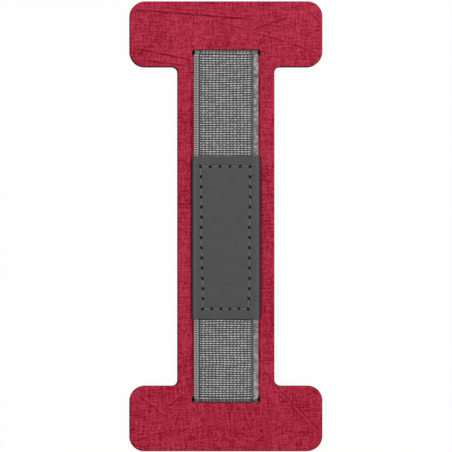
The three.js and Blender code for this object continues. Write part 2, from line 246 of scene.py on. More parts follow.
class Finish:
    """A procedural material, whose nodes are added one at a time."""

    def __init__(self, name):
        self.material = bpy.data.materials.new(name)
        self.material.use_nodes = True
        self.tree = self.material.node_tree
        self.tree.nodes.clear()

    def node(self, kind, settings, inputs, output=0, stops=()):
        """Adds a node: its settings first, then a ramp's stops, then the values or links of its sockets."""
        made = self.tree.nodes.new(kind)
        for name, value in settings.items():
            setattr(made, name, value)
        for place, colour in stops[2:]:
            made.color_ramp.elements.new(place)
        for index, (place, colour) in enumerate(stops):
            made.color_ramp.elements[index].position = place
            made.color_ramp.elements[index].color = colour
        for socket, value in inputs.items():
            if isinstance(value, Signal):
                self.tree.links.new(value.socket, made.inputs[socket])
            else:
                made.inputs[socket].default_value = value
        return Signal(self, made.outputs[output]) if made.outputs else None

    def mark(self, name):
        """A number that the mesh holds at each point."""
        return self.node("ShaderNodeAttribute", {"attribute_name": name}, {}, output="Fac")

    def place(self, scale=(1, 1, 1)):
        """The object's own coordinates in millimetres, stretched."""
        scale = [share / METRE for share in scale]
        where = self.node("ShaderNodeTexCoord", {}, {}, output="Object")
        return self.node("ShaderNodeMapping", {}, {"Vector": where, "Scale": scale})

    def noise(self, where, scale, detail=2.0, roughness=0.5):
        """Cloudy noise between nought and one, with this many lumps for each millimetre."""
        inputs = {"Vector": where, "Scale": scale, "Detail": detail, "Roughness": roughness}
        return self.node("ShaderNodeTexNoise", {}, inputs)

    def cells(self, where, scale):
        """Distance from the middle of the nearest of many small cells."""
        return self.node("ShaderNodeTexVoronoi", {}, {"Vector": where, "Scale": scale})

    def blend(self, share, first, second, mode="MIX"):
        """Two colours mixed by a share."""
        settings = {"data_type": "RGBA", "blend_type": mode}
        inputs = {"Factor": share, 6: first, 7: second}
        return self.node("ShaderNodeMix", settings, inputs, output=2)

    def bump(self, height, distance, normal=None):
        """A normal bent by a height of nought to one, which is this many millimetres deep."""
        inputs = {"Height": height, "Distance": distance * METRE}
        if normal is not None:
            inputs["Normal"] = normal
        return self.node("ShaderNodeBump", {}, inputs)

    def surface(self, inputs):
        """Ends the material in one Principled shader with these sockets."""
        shader = self.node("ShaderNodeBsdfPrincipled", {}, inputs)
        self.node("ShaderNodeOutputMaterial", {}, {"Surface": shader})
        return self.material


def shifted_for_shade_line(shape):
    """The black layers, moved a hair down and to the left under the cover, so that their dark edge shows past
    it there as a painted shadow line along the left and lower edges of the plate."""
    points, faces, attributes = shape
    return points + (*SHADE_LINE_SHIFT, 0), faces, attributes


def make_backing():
    def outline(x, y):
        return plate_distance(x, y) + BACKING_RIM, np.full(x.shape, BACKING_RIM)

    def relief(x, y, spacing):
        nap = random_field(x.shape, spacing, 0.5, 0.5, np.random.default_rng(11))
        return NAP_RELIEF * (nap - nap.max()), {}

    shape = cut_layer(outline, backing_low[2], backing_high[2], BACKING_GRID, relief)
    return closed_piece("backing_lining", *shifted_for_shade_line(shape))


def backing_finish():
    finish = Finish("black_microfibre")
    where = finish.place()
    nap = finish.noise(where, 5, detail=4, roughness=0.7)
    fibres = finish.noise(finish.place((3, 0.4, 1)), 4, detail=2)
    tone = (nap * 0.7 + fibres * 0.6 - 0.25).clipped()
    colour = finish.blend(tone, paint(*BACKING_COLOUR), paint(*BACKING_LINT))
    return finish.surface({
        "Base Color": colour,
        "Roughness": 0.75 + 0.2 * nap,
        "Normal": finish.bump(nap + fibres * 0.5, 0.08),
        "Sheen Weight": 0.3,
        "Sheen Roughness": 0.5,
        "Specular IOR Level": 0.25,
    })


backing_lining = make_backing()
backing_lining.data.materials.append(backing_finish())
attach(backing_lining, "root")
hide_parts("backing_sheet")


# The stiffener board keeps the plate flat. It is pressed fibre board, dyed black through, with a window under
# each slot of the cover in which the tail of the band lies, and it is glued between the lining and the
# leather.
BOARD_RIM = 0.05
BOARD_GRID = 0.6
SLOT_INSET = 17.3
SLOT_WIDTH = 2.31
TAIL_TO_PLATE_END = 4
WINDOW_CLEARANCE = 0.3
BAND_WIDTH = 21.8
BOARD_COLOUR = (26, 24, 25)
BOARD_FIBRE = (58, 52, 50)

board_low, board_high = node_box("stiffener_board")
slot_middle = plate_half_length - SLOT_INSET


def window_distance(x, y):
    """Distance from the two windows, each from the inner edge of its slot to just past the end of the
    band."""
    inner = slot_middle - SLOT_WIDTH / 2
    outer = plate_half_length - TAIL_TO_PLATE_END + WINDOW_CLEARANCE
    half_width = BAND_WIDTH / 2 + WINDOW_CLEARANCE
    return rounded_box(x, abs(y) - (inner + outer) / 2, half_width, (outer - inner) / 2, WINDOW_CLEARANCE)


def make_board():
    def outline(x, y):
        edge = np.maximum(plate_distance(x, y), -window_distance(x, y))
        return edge + BOARD_RIM, np.full(x.shape, BOARD_RIM)

    def relief(x, y, spacing):
        return np.zeros(x.shape), {}

    shape = cut_layer(outline, board_high[2], board_low[2], BOARD_GRID, relief)
    return closed_piece("fibre_board", *shifted_for_shade_line(shape))


def board_finish():
    finish = Finish("dyed_fibre_board")
    fibres = finish.noise(finish.place((0.5, 0.5, 4)), 3, detail=4, roughness=0.65)
    specks = finish.noise(finish.place(), 6, detail=2)
    colour = finish.blend((fibres * 1.4 - 0.35).clipped(), paint(*BOARD_COLOUR), paint(*BOARD_FIBRE))
    return finish.surface({
        "Base Color": colour,
        "Roughness": 0.8 + 0.15 * specks,
        "Normal": finish.bump(fibres + specks * 0.5, 0.06),
        "Specular IOR Level": 0.2,
    })


fibre_board = make_board()
fibre_board.data.materials.append(board_finish())
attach(fibre_board, "root")
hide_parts("stiffener_board")


# The cover is crimson coated leather, embossed with a linen-like cross grain and crossed by long random
# creases. Its slots are punched, its outer edge is turned down round and painted dark, and it is glued to the
# board.
COVER_RIM = 0.4
COVER_GRID = 0.3
SLOT_RIM = 0.14
SLOT_LENGTH = 22.9
SLOT_CORNER = 1.1
GRAIN_RELIEF = 0.016
CREASE_DEPTH = 0.05
CREASE_WIDTH = 0.25
CREASE_SWAY = 0.05
CREASE_LIP = 0.4
PRESSED_PLACE = (11.5, -3.8)
PRESSED_REACH = 27.6
PRESSED_WIDTH = 0.3
FINE_CREASES = 90
COVER_COLOUR = (179, 33, 59)
COVER_DARK = (116, 0, 10)
COVER_LIGHT = (200, 64, 91)
COVER_CREASE_SHADE = (126, 0, 22)
COVER_PRESSED_SHADOW = (36, 4, 10)
COVER_EDGE = (70, 10, 22)
# Long creases that stand out: where each starts and ends, how far it bows, and how deep it is
LONG_CREASES = [
    (-31.6, 72.2, 10.5, 68.8, 0.05, 1.3),
    (-2.6, 67.9, 8.0, 64.9, 0.2, 0.7),
    (8.0, 64.9, 31.9, 56.9, 0.5, 0.9),
    (8.0, 64.9, 20.1, 69.5, 0.3, 0.7),
    (27.1, 71.9, 31.9, 67.2, 0.1, 0.7),
    (-30.7, 55.2, -16.7, 67.9, 0.6, 0.5),
    (-30.5, 59.2, -10.9, 55.2, 0.15, 1.2),
    (-30.3, 55.5, -10.9, 53.0, 0.25, 1.0),
    (-30.9, 55.3, -26.5, 60.2, 0.1, 0.7),
    (-15.9, 34.8, -11.4, 34.9, 0.0, 0.9),
    (11.1, 41.2, 16.0, 41.2, 0.1, 0.7),
    (-30.3, -55.7, -20.3, -63.7, 0.2, 0.7),
    (-21.3, -61.7, -10.7, -54.0, 0.3, 0.7),
    (-30.3, -71.7, -18.0, -68.0, 0.3, 0.8),
    (-18.0, -68.0, -12.0, -67.3, 0.1, 0.7),
    (12.4, -48.0, 18.1, -55.0, 0.2, 0.8),
    (18.1, -55.0, 31.8, -68.7, 0.3, 0.9),
    (16.6, -55.4, 30.6, -69.6, 0.4, 0.6),
    (5.0, -60.7, 8.7, -70.3, 0.2, 0.6),
    (6.7, -74.2, 20.7, -65.3, 0.4, 0.6),
    # The four creases along the band's edges, near x of minus and plus 11, are partly real creases and partly
    # painted contact shadow beside the band
    (-11.45, 50.0, -11.45, 21.0, 0.05, 1.2),
    (-11.15, -29.0, -11.15, -53.0, 0.0, 1.1),
    (11.15, 53.0, 11.15, 22.0, 0.0, 1.1),
    (11.15, -29.0, 11.15, -53.0, 0.0, 1.1),
    (-16.0, 21.9, -12.6, 21.6, 0.1, 0.9),
    (-15.6, 15.9, -11.6, 16.0, 0.0, 0.8),
    (-15.8, 7.5, -12.4, 7.2, 0.1, 0.9),
    (-15.2, 4.5, -11.9, 4.6, 0.0, 0.8),
    (11.7, 10.4, 15.9, 10.6, 0.1, 0.9),
    (11.6, 1.8, 15.6, 1.6, 0.1, 0.8),
    (11.7, 18.1, 13.6, 15.8, 0.0, 0.8),
]

cover_low, cover_high = node_box("cover_panel")


def slot_distance(x, y):
    """Distance from the two slots in which the band comes up."""
    return rounded_box(x, abs(y) - slot_middle, SLOT_LENGTH / 2, SLOT_WIDTH / 2, SLOT_CORNER)


def crease_field(x, y, creases):
    """Depth of all creases: each is a bell across a line that bows as a parabola, with ends that run out, and
    with a lower bell beside it for the lip that the fold pushes up. Returned as groove and lip."""
    groove = np.zeros(x.shape)
    lip = np.zeros(x.shape)
    for start_x, start_y, end_x, end_y, bow, depth in creases:
        length = math.hypot(end_x - start_x, end_y - start_y)
        way_x, way_y = (end_x - start_x) / length, (end_y - start_y) / length
        share = ((x - start_x) * way_x + (y - start_y) * way_y) / length
        sway = 4 * bow * share * (1 - share) + CREASE_SWAY * np.sin(share * length * 1.1 + start_x)
        off = (y - start_y) * way_x - (x - start_x) * way_y - sway
        run = np.clip(8 * np.minimum(share, 1 - share), 0, 1) * depth
        run = run * (0.75 + 0.25 * np.sin(share * length * 0.8 + end_y))
        groove = np.maximum(groove, run * np.exp(-((off / CREASE_WIDTH) ** 2)))
        lip = np.maximum(lip, run * np.exp(-(((off - 1.9 * CREASE_WIDTH) / CREASE_WIDTH) ** 2)))
    return groove, lip


def fine_creases(draw):
    """Seeded short creases: a random place and heading, mostly near the two thread directions."""
    count = FINE_CREASES
    middle_x = draw.uniform(-1, 1, count) * plate_half_width
    middle_y = draw.uniform(-1, 1, count) * plate_half_length
    heading = draw.integers(0, 2, count) * math.pi / 2 + draw.normal(0, 0.45, count)
    reach = draw.uniform(2, 9, count)
    bow = draw.normal(0, 0.4, count)
    depth = draw.uniform(0.2, 0.55, count)
    step_x, step_y = reach * np.cos(heading), reach * np.sin(heading)
    ends = [middle_x - step_x, middle_y - step_y, middle_x + step_x, middle_y + step_y, bow, depth]
    return np.stack(ends, 1).tolist()


def make_cover():
    def outline(x, y):
        outer = plate_distance(x, y) + COVER_RIM
        slots = SLOT_RIM - slot_distance(x, y)
        return np.maximum(outer, slots), np.where(outer > slots, COVER_RIM, SLOT_RIM)

    def relief(x, y, spacing):
        """Two sets of short threads, upright and level, each strong where the other is weak, with specks
        between. The sleeve has pushed a straight bell-shaped groove into each side, whose mark also paints a
        near-black contact shadow there, and the lower flange is a little darker."""
        draw = np.random.default_rng(23)
        upright = random_field(x.shape, spacing, 0.17, 0.8, draw)
        level = random_field(x.shape, spacing, 0.8, 0.17, draw)
        specks = random_field(x.shape, spacing, 0.2, 0.2, draw)
        turn = 0.5 + 0.5 * np.tanh(random_field(x.shape, spacing, 5, 5, draw))
        patch = random_field(x.shape, spacing, 3, 4, draw) - 2 * np.clip((-y - 50) / 6, 0, 1)
        grain = 0.75 * upright * turn + 0.75 * level * (1 - turn) + 0.35 * specks
        groove, lip = crease_field(x, y, LONG_CREASES + fine_creases(draw))
        pressed_shade = np.exp(-(((abs(x) - PRESSED_PLACE[0]) / PRESSED_WIDTH) ** 2))
        pressed_shade = pressed_shade * np.clip(PRESSED_REACH - abs(y - PRESSED_PLACE[1]), 0, 1)
        height = GRAIN_RELIEF * grain + CREASE_DEPTH * (CREASE_LIP * lip - groove - 2 * pressed_shade)
        return height, {"grain": grain, "patch": patch, "groove": groove, "lip": lip, "pressed_shade": pressed_shade}

    return closed_piece("cover_leather", *cut_layer(outline, cover_high[2], cover_low[2], COVER_GRID, relief))


def cover_finish():
    finish = Finish("crimson_coated_leather")
    where = finish.place()
    grain = finish.mark("grain")
    pores = finish.noise(where, 4.4, detail=2, roughness=0.6)
    upright = finish.noise(finish.place((3.4, 0.3, 1)), 1, detail=2, roughness=0.6)
    level = finish.noise(finish.place((0.3, 3.4, 1)), 1, detail=2, roughness=0.6)
    threads = (upright - 0.5) * 1.5 + (level - 0.5) * 1.5 + (pores - 0.5) * 3.2
    tone = (0.56 + grain * 0.05 + threads).clipped()
    mark = finish.mark("groove")
    lip = finish.mark("lip")
    # Painted highlight: the lip beside each crease is lightened
    lit = (tone + finish.mark("patch") * 0.035 + lip * 0.35).clipped()
    ramp = [(0.0, paint(*COVER_DARK)), (0.5, paint(*COVER_COLOUR)), (1.0, paint(*COVER_LIGHT))]
    leather = finish.node("ShaderNodeValToRGB", {}, {"Fac": lit}, stops=ramp)
    # Painted shade: the creases are darkened to a deep red over a stippled share of their depth
    stippled = (mark * (upright + level + pores - 0.45)).clipped()
    crease_shaded = finish.blend(stippled, leather, paint(*COVER_CREASE_SHADE))
    # Painted shadow: beside each side of the sleeve the groove's mark darkens the leather almost to black
    pressed_shade = finish.blend((finish.mark("pressed_shade") * 0.82).clipped(), crease_shaded, paint(*COVER_PRESSED_SHADOW))
    painted = finish.blend((finish.mark("rim") * 3.0 - 2.1).clipped(), pressed_shade, paint(*COVER_EDGE))
    height = upright * 0.5 + level * 0.5 + pores * 0.6
    return finish.surface({
        "Base Color": painted,
        "Roughness": 0.62 - 0.1 * tone + 0.1 * mark,
        "Normal": finish.bump(height, 0.05),
        "Specular IOR Level": 0.06,
    })


cover_leather = make_cover()
cover_leather.data.materials.append(cover_finish())
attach(cover_leather, "root")
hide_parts("cover_panel")


# The elastic band is one woven strip, ribbed across in rows of light yarn, with a groove before each selvage.
# Its tails are glued in the windows of the board, and it comes up through the slots to span the plate.
BAND_THICKNESS = 1
BAND_REST_GAP = 0.3
BEND_RADIUS = 0.9
BEND_ANGLE = math.radians(65)
SLEEVE_RAMP = 4.5
RIB_PITCH = 0.76
COLUMN_PITCH = 1.165
WEAVE_RELIEF = 0.2
BAND_EDGE = 0.35
SELVAGE_DRAW_IN = 0.17
BAND_COLUMN = 0.2
STATIONS_PER_RIB = 7
HIDDEN_STATION = 1.6
LEFT_GROOVE = (-9.12, -8.72)
RIGHT_GROOVE = (8.5, 9.12)
WALE_START = -10.95
WALE_PITCH = 0.92
SLOT_DRAW_IN = 0.38
# The band's colour follows the height of its weave: the yarn's own light and dark pattern, with painted shade
# that darkens the low places between ribs almost to black
BAND_RECESS_SHADE = (2, 2, 2)
BAND_MIDDLE = (108, 108, 108)
BAND_LIGHT = (242, 242, 241)

band_low, band_high = node_box("elastic_band")
sleeve_low, sleeve_high = node_box("grip_sleeve")
tail_middle = band_low[2] + BAND_THICKNESS / 2
sleeve_middle = band_high[2] - BAND_THICKNESS / 2
face_middle = cover_high[2] + BAND_REST_GAP + BAND_THICKNESS / 2
tail_end = band_high[1]


def band_half(sleeve_end):
    """Half of the band's middle line, as rows of distance along the plate and height: down from the sleeve on
    a smooth ramp, level over the plate, down through the slot on two bends with a short straight, and level
    again."""
    bends_height = 2 * BEND_RADIUS * (1 - math.cos(BEND_ANGLE))
    climb_straight = (face_middle - tail_middle - bends_height) / math.sin(BEND_ANGLE)
    climb_run = 2 * BEND_RADIUS * math.sin(BEND_ANGLE) + climb_straight * math.cos(BEND_ANGLE)
    top, foot = slot_middle - climb_run / 2, slot_middle + climb_run / 2
    share = np.linspace(0, 1, 40)
    ramp_along = sleeve_end + SLEEVE_RAMP * (1.5 * share * (1 - share) + share**3)
    ramp_height = sleeve_middle + (face_middle - sleeve_middle) * (3 * share**2 - 2 * share**3)
    turn = share * BEND_ANGLE
    over = np.stack([top + BEND_RADIUS * np.sin(turn), face_middle - BEND_RADIUS * (1 - np.cos(turn))], 1)
    under = np.stack([foot - BEND_RADIUS * np.sin(turn), tail_middle + BEND_RADIUS * (1 - np.cos(turn))], 1)
    ramp = np.stack([ramp_along, ramp_height], 1)
    return np.concatenate([ramp, over, under[::-1], [[tail_end, tail_middle]]])


def band_line():
    """The whole middle line, from the lower tail to the upper one, with its length so far at each point."""
    lower = band_half(-sleeve_low[1])[::-1] * (-1, 1)
    line = np.concatenate([lower, band_half(sleeve_high[1])])
    steps = np.hypot(*np.diff(line, axis=0).T)
    return line, np.concatenate([[0], np.cumsum(steps)])


def band_stations(line, lengths):
    """Places along the middle line: many to each rib where the band shows, few inside the sleeve and the
    windows."""
    shows_from = np.interp([-slot_middle - 1.5, sleeve_high[1] - 0.8], line[:, 0], lengths)
    shows_to = np.interp([sleeve_low[1] + 0.8, slot_middle + 1.5], line[:, 0], lengths)
    fine = RIB_PITCH / STATIONS_PER_RIB
    stretches = [
        np.arange(0, shows_from[0], HIDDEN_STATION),
        np.arange(shows_from[0], shows_to[0], fine),
        np.arange(shows_to[0], shows_from[1], HIDDEN_STATION),
        np.arange(shows_from[1], shows_to[1], fine),
        np.arange(shows_to[1], lengths[-1], HIDDEN_STATION),
        lengths[-1:],
    ]
    return np.concatenate(stretches)


def weave(across, along, draw):
    """Height of the woven face, from nought to one, over places across and along the band. A rib is one less
    the distance from its middle line. The columns that cross it swell as one less the square of the distance
    from theirs: a little on the ribs, and as beads between them. Alternate ribs lie a little aside and split
    each column in two, as a cosine of half its pitch, and slow noise lets both wander. The left selvage is
    two wales of slanted loops, cut apart by one less the cube of the distance from each middle, and the right
    one is nearly smooth."""
    row_sway = random_field(across.shape, 1, 25, 30, draw) * 0.1
    column_sway = random_field(across.shape, 1, 60, 12, draw) * 0.05
    row = along / RIB_PITCH + row_sway
    row_number = np.floor(row).astype(int)
    row_off = np.abs(2 * (row - row_number) - 1)
    turn = 1 - 2 * (row_number % 2)
    place = across / COLUMN_PITCH + 0.06 * turn + column_sway + 30
    column_number = np.floor(place).astype(int)
    column_off = np.abs(2 * (place - column_number) - 1)
    lift = draw.uniform(0.8, 1, (400, 60))[row_number, column_number]
    rib = (1 - row_off) * lift
    split = 0.12 * turn * np.cos(4 * math.pi * place)
    body = rib * (1.1 - 0.4 * column_off**2 + split) + (1 - rib) * 0.16 * (1 - column_off**2)

    wale_place = (across - WALE_START) / WALE_PITCH
    wale = np.floor(wale_place)
    loop = along / RIB_PITCH + 0.5 * wale + (across - WALE_START) * 0.55
    loop_off = np.abs(2 * (loop - np.floor(loop)) - 1)
    wale_off = np.abs(2 * (wale_place - wale) - 1)
    looped = 0.54 + 0.27 * (1 - wale_off**3) - 0.66 * (1 - loop_off) ** 3
    mottle = random_field(across.shape, 1, 2, 3, draw)
    smooth = 0.635 + 0.05 * mottle

    chevron = along / RIB_PITCH + (across - RIGHT_GROOVE[0]) * 0.8
    tick = np.abs(2 * (chevron - np.floor(chevron)) - 1)
    height = np.where(across < LEFT_GROOVE[0], looped, body)
    in_left_groove = (across >= LEFT_GROOVE[0]) & (across < LEFT_GROOVE[1])
    in_right_groove = (across >= RIGHT_GROOVE[0]) & (across < RIGHT_GROOVE[1])
    height = np.where(in_left_groove, 0.06 + 0.3 * (1 - row_off**2), height)
    height = np.where(in_right_groove, 0.15 + 0.5 * tick, height)
    return np.where(across >= RIGHT_GROOVE[1], smooth, height)


def carried_ring_faces(stations, corners):
    """Quads between the rings of a section of so many corners that is carried through so many stations."""
    number = np.arange(stations * corners).reshape(stations, corners)
    after = np.roll(number, -1, axis=1)
    return np.stack([number[:-1], after[:-1], after[1:], number[1:]], 2).reshape(-1, 4)


def closed_ends(rings, normal):
    """Triangles that fill the first and the last ring of a carried section, which face along this normal."""
    corners = rings.shape[1]
    loop = np.stack([np.arange(corners), np.roll(np.arange(corners), -1)], 1)
    first = fill_loops(rings[0], loop, [-part for part in normal])
    last = fill_loops(rings[-1], loop, normal) + (len(rings) - 1) * corners
    return first.tolist() + last.tolist()


def make_band():
    line, lengths = band_line()
    stations = band_stations(line, lengths)
    along = np.interp(stations, lengths, line[:, 0])
    height = np.interp(stations, lengths, line[:, 1])
    slope_along, slope_height = np.gradient(along, stations), np.gradient(height, stations)
    steep = np.hypot(slope_along, slope_height)
    slope_along, slope_height = slope_along / steep, slope_height / steep

    reach = BAND_WIDTH / 2 - SELVAGE_DRAW_IN - BAND_EDGE
    front = np.linspace(-reach, reach, round(2 * reach / BAND_COLUMN) + 1)
    turn = np.linspace(0, math.pi, 8)[1:-1]
    back = np.linspace(reach, -reach, 15)
    round_edge = reach + BAND_EDGE * np.sin(turn)
    section_x = np.concatenate([front, round_edge, back, -round_edge])
    edge_rise = np.cos(turn)
    rise = np.concatenate([np.ones(front.size), edge_rise, -np.ones(back.size), -edge_rise])
    rise = rise * BAND_THICKNESS / 2

    draw = np.random.default_rng(37)
    places, ways = np.meshgrid(section_x, stations)
    woven = weave(places, ways, draw)
    upper = np.clip(rise / (BAND_THICKNESS / 2), 0, 1)
    lift = rise - WEAVE_RELIEF * (1 - woven) * upper
    climb = np.abs(slope_height)
    in_slot = (climb / math.sin(BEND_ANGLE)) ** 2 * (np.abs(along) > slot_middle - 8)
    narrow = 1 - SLOT_DRAW_IN / (BAND_WIDTH / 2) * in_slot
    rings = np.stack([
        section_x * narrow[:, None],
        along[:, None] - slope_height[:, None] * lift,
        height[:, None] + slope_along[:, None] * lift,
    ], 2)
    faces = carried_ring_faces(len(stations), section_x.size).tolist() + closed_ends(rings, (0, 1, 0))
    shade = np.where(upper > 0, woven, 0.5 + 0 * woven)
    marks = {"woven": shade.ravel(), "across": places.ravel(), "along": ways.ravel()}
    return closed_piece("woven_band", rings.reshape(-1, 3), faces, marks), lengths[-1]


def band_finish():
    finish = Finish("grey_woven_elastic")
    strands = finish.node(
        "ShaderNodeCombineXYZ", {}, {"X": finish.mark("across") * 1.2, "Y": finish.mark("along") * 9.0}
    )
    fibre = finish.noise(strands, 1.0, detail=3, roughness=0.6)
    woven = finish.mark("woven")
    tone = (woven + (fibre - 0.5) * 0.35).clipped()
    # Painted shade: the low places of the weave run to near black, the high ones to light yarn
    ramp = [(0.08, paint(*BAND_RECESS_SHADE)), (0.58, paint(*BAND_MIDDLE)), (1.0, paint(*BAND_LIGHT))]
    return finish.surface({
        "Base Color": finish.node("ShaderNodeValToRGB", {}, {"Fac": tone}, stops=ramp),
        "Roughness": 0.85 - 0.15 * woven,
        "Normal": finish.bump(fibre, 0.03),
        "Sheen Weight": 0.15,
        "Specular IOR Level": 0.25,
    })


woven_band, band_length = make_band()
woven_band.data.materials.append(band_finish())
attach(woven_band, "root")
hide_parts("elastic_band")


# The grip sleeve is one strip of dark grey coated leather, folded round the middle of the band with its two
# edges butted along the back. The sewing draws it in at its corners and pulls a small pit at every needle
# hole.
SLEEVE_LEATHER = 0.55
SLEEVE_SIDE_ROUND = 1.5
SLEEVE_BUTT_GAP = 0.3
SLEEVE_SIDE_CLEARANCE = 0.05
SLEEVE_GRID = 0.16
SLEEVE_SIDE_DRAW = 0.2
SLEEVE_CORNER_DRAW = 0.4
SLEEVE_CORNER_REACH = 1.6
SLEEVE_END_ROUND = 0.14
SEAM_WIDTH = 16.5
SEAM_SIDE_SHIFT = -0.35
SEAM_END_MARGIN = 3.45
STITCH_LENGTH = 3.35
NEEDLE_WANDER = 0.05
SEAM_SWAY = 0.13
LOW_ROW_SHARE = 0.91
NEEDLE_SLIT = (0.56, 0.37)
NEEDLE_SLANT = math.radians(14)
NEEDLE_PIT_DEPTH = 0.42
STITCH_BED_DEPTH = 0.05
STITCH_BED_WIDTH = 0.3
SEAM_TUCK_DEPTH = 0.05
SEAM_TUCK_WIDTH = 1.1
SLEEVE_COLOUR = (74, 74, 74)
SLEEVE_SIDE_HIGHLIGHT = (93, 94, 94)
SLEEVE_HOLE_SHADE = (2, 2, 2)
SLEEVE_EDGE = (44, 44, 44)


def needle_places():
    """The needle holes in the order in which they are sewn, round a rectangle, each a little off its true
    place, and with the lowest row drawn in."""
    left, right = SEAM_SIDE_SHIFT - SEAM_WIDTH / 2, SEAM_SIDE_SHIFT + SEAM_WIDTH / 2
    bottom, top = sleeve_low[1] + SEAM_END_MARGIN, sleeve_high[1] - SEAM_END_MARGIN
    corners = np.array([(left, bottom), (right, bottom), (right, top), (left, top)])
    runs = []
    for corner, following in zip(corners, np.roll(corners, -1, axis=0)):
        stitches = round(float(np.hypot(*(following - corner))) / STITCH_LENGTH)
        share = (np.arange(stitches) / stitches)[:, None]
        runs.append(corner + (following - corner) * share)
    places = np.concatenate(runs)
    lowness = (top - places[:, 1]) / (top - bottom)
    lean = np.where(places[:, 0] < SEAM_SIDE_SHIFT, lowness, lowness**5)
    drawn = (places[:, 0] - SEAM_SIDE_SHIFT) * (1 - (1 - LOW_ROW_SHARE) * lean)
    places[:, 0] = SEAM_SIDE_SHIFT + drawn + SEAM_SWAY * np.sin(9 * lowness)
    return places + np.random.default_rng(5).normal(0, NEEDLE_WANDER, places.shape)


def seam_distance(x, y, places):
    """Distance from the nearest stitch, as a line between two holes, and from the nearest needle hole, in
    half widths of its slit: the needle cuts it along the seam, at a slant."""
    stitch = np.full(x.shape, 99.0)
    hole = np.full(x.shape, 99.0)
    for start, end in zip(places, np.roll(places, -1, axis=0)):
        way = end - start
        share = np.clip(((x - start[0]) * way[0] + (y - start[1]) * way[1]) / (way @ way), 0, 1)
        stitch = np.minimum(stitch, np.hypot(x - start[0] - share * way[0], y - start[1] - share * way[1]))
        heading = math.atan2(way[1], way[0]) + NEEDLE_SLANT
        along = (x - start[0]) * math.cos(heading) + (y - start[1]) * math.sin(heading)
        across = (y - start[1]) * math.cos(heading) - (x - start[0]) * math.sin(heading)
        hole = np.minimum(hole, np.hypot(along / NEEDLE_SLIT[0], across / NEEDLE_SLIT[1]))
    return stitch, hole


def sleeve_section():
    """The sleeve's section as a closed loop from one butted edge round the outside to the other, and back
    inside: two levels joined at each side by half an ellipse, and an inner rectangle. Rows are place across,
    height, and how far out the point lies, which is one outside and nought inside."""
    half_height = (sleeve_high[2] - sleeve_low[2]) / 2
    side = sleeve_high[0] - SLEEVE_SIDE_ROUND
    slit = SLEEVE_BUTT_GAP / 2
    turn = np.linspace(-math.pi / 2, math.pi / 2, 19)[1:-1]
    front = np.linspace(side, -side, round(2 * side / SLEEVE_GRID) + 1)
    under = np.linspace(slit, side, 12)
    outer_x = np.concatenate([
        under,
        side + SLEEVE_SIDE_ROUND * np.cos(turn),
        front,
        -side - SLEEVE_SIDE_ROUND * np.cos(turn),
        -under[::-1],
    ])
    outer_z = np.concatenate([
        np.full(under.size, -half_height),
        half_height * np.sin(turn),
        np.full(front.size, half_height),
        half_height * np.sin(turn[::-1]),
        np.full(under.size, -half_height),
    ])
    hollow = BAND_WIDTH / 2 + SLEEVE_SIDE_CLEARANCE
    inner = half_height - SLEEVE_LEATHER
    corners = np.array([
        (-slit, -inner),
        (-hollow, -inner),
        (-hollow, inner),
        (0, inner),
        (hollow, inner),
        (hollow, -inner),
        (slit, -inner),
    ])
    outside = np.ones(outer_x.size)
    return (
        np.concatenate([outer_x, corners[:, 0]]),
        np.concatenate([outer_z, corners[:, 1]]) + sleeve_middle,
        np.concatenate([outside, np.zeros(len(corners))]),
    )


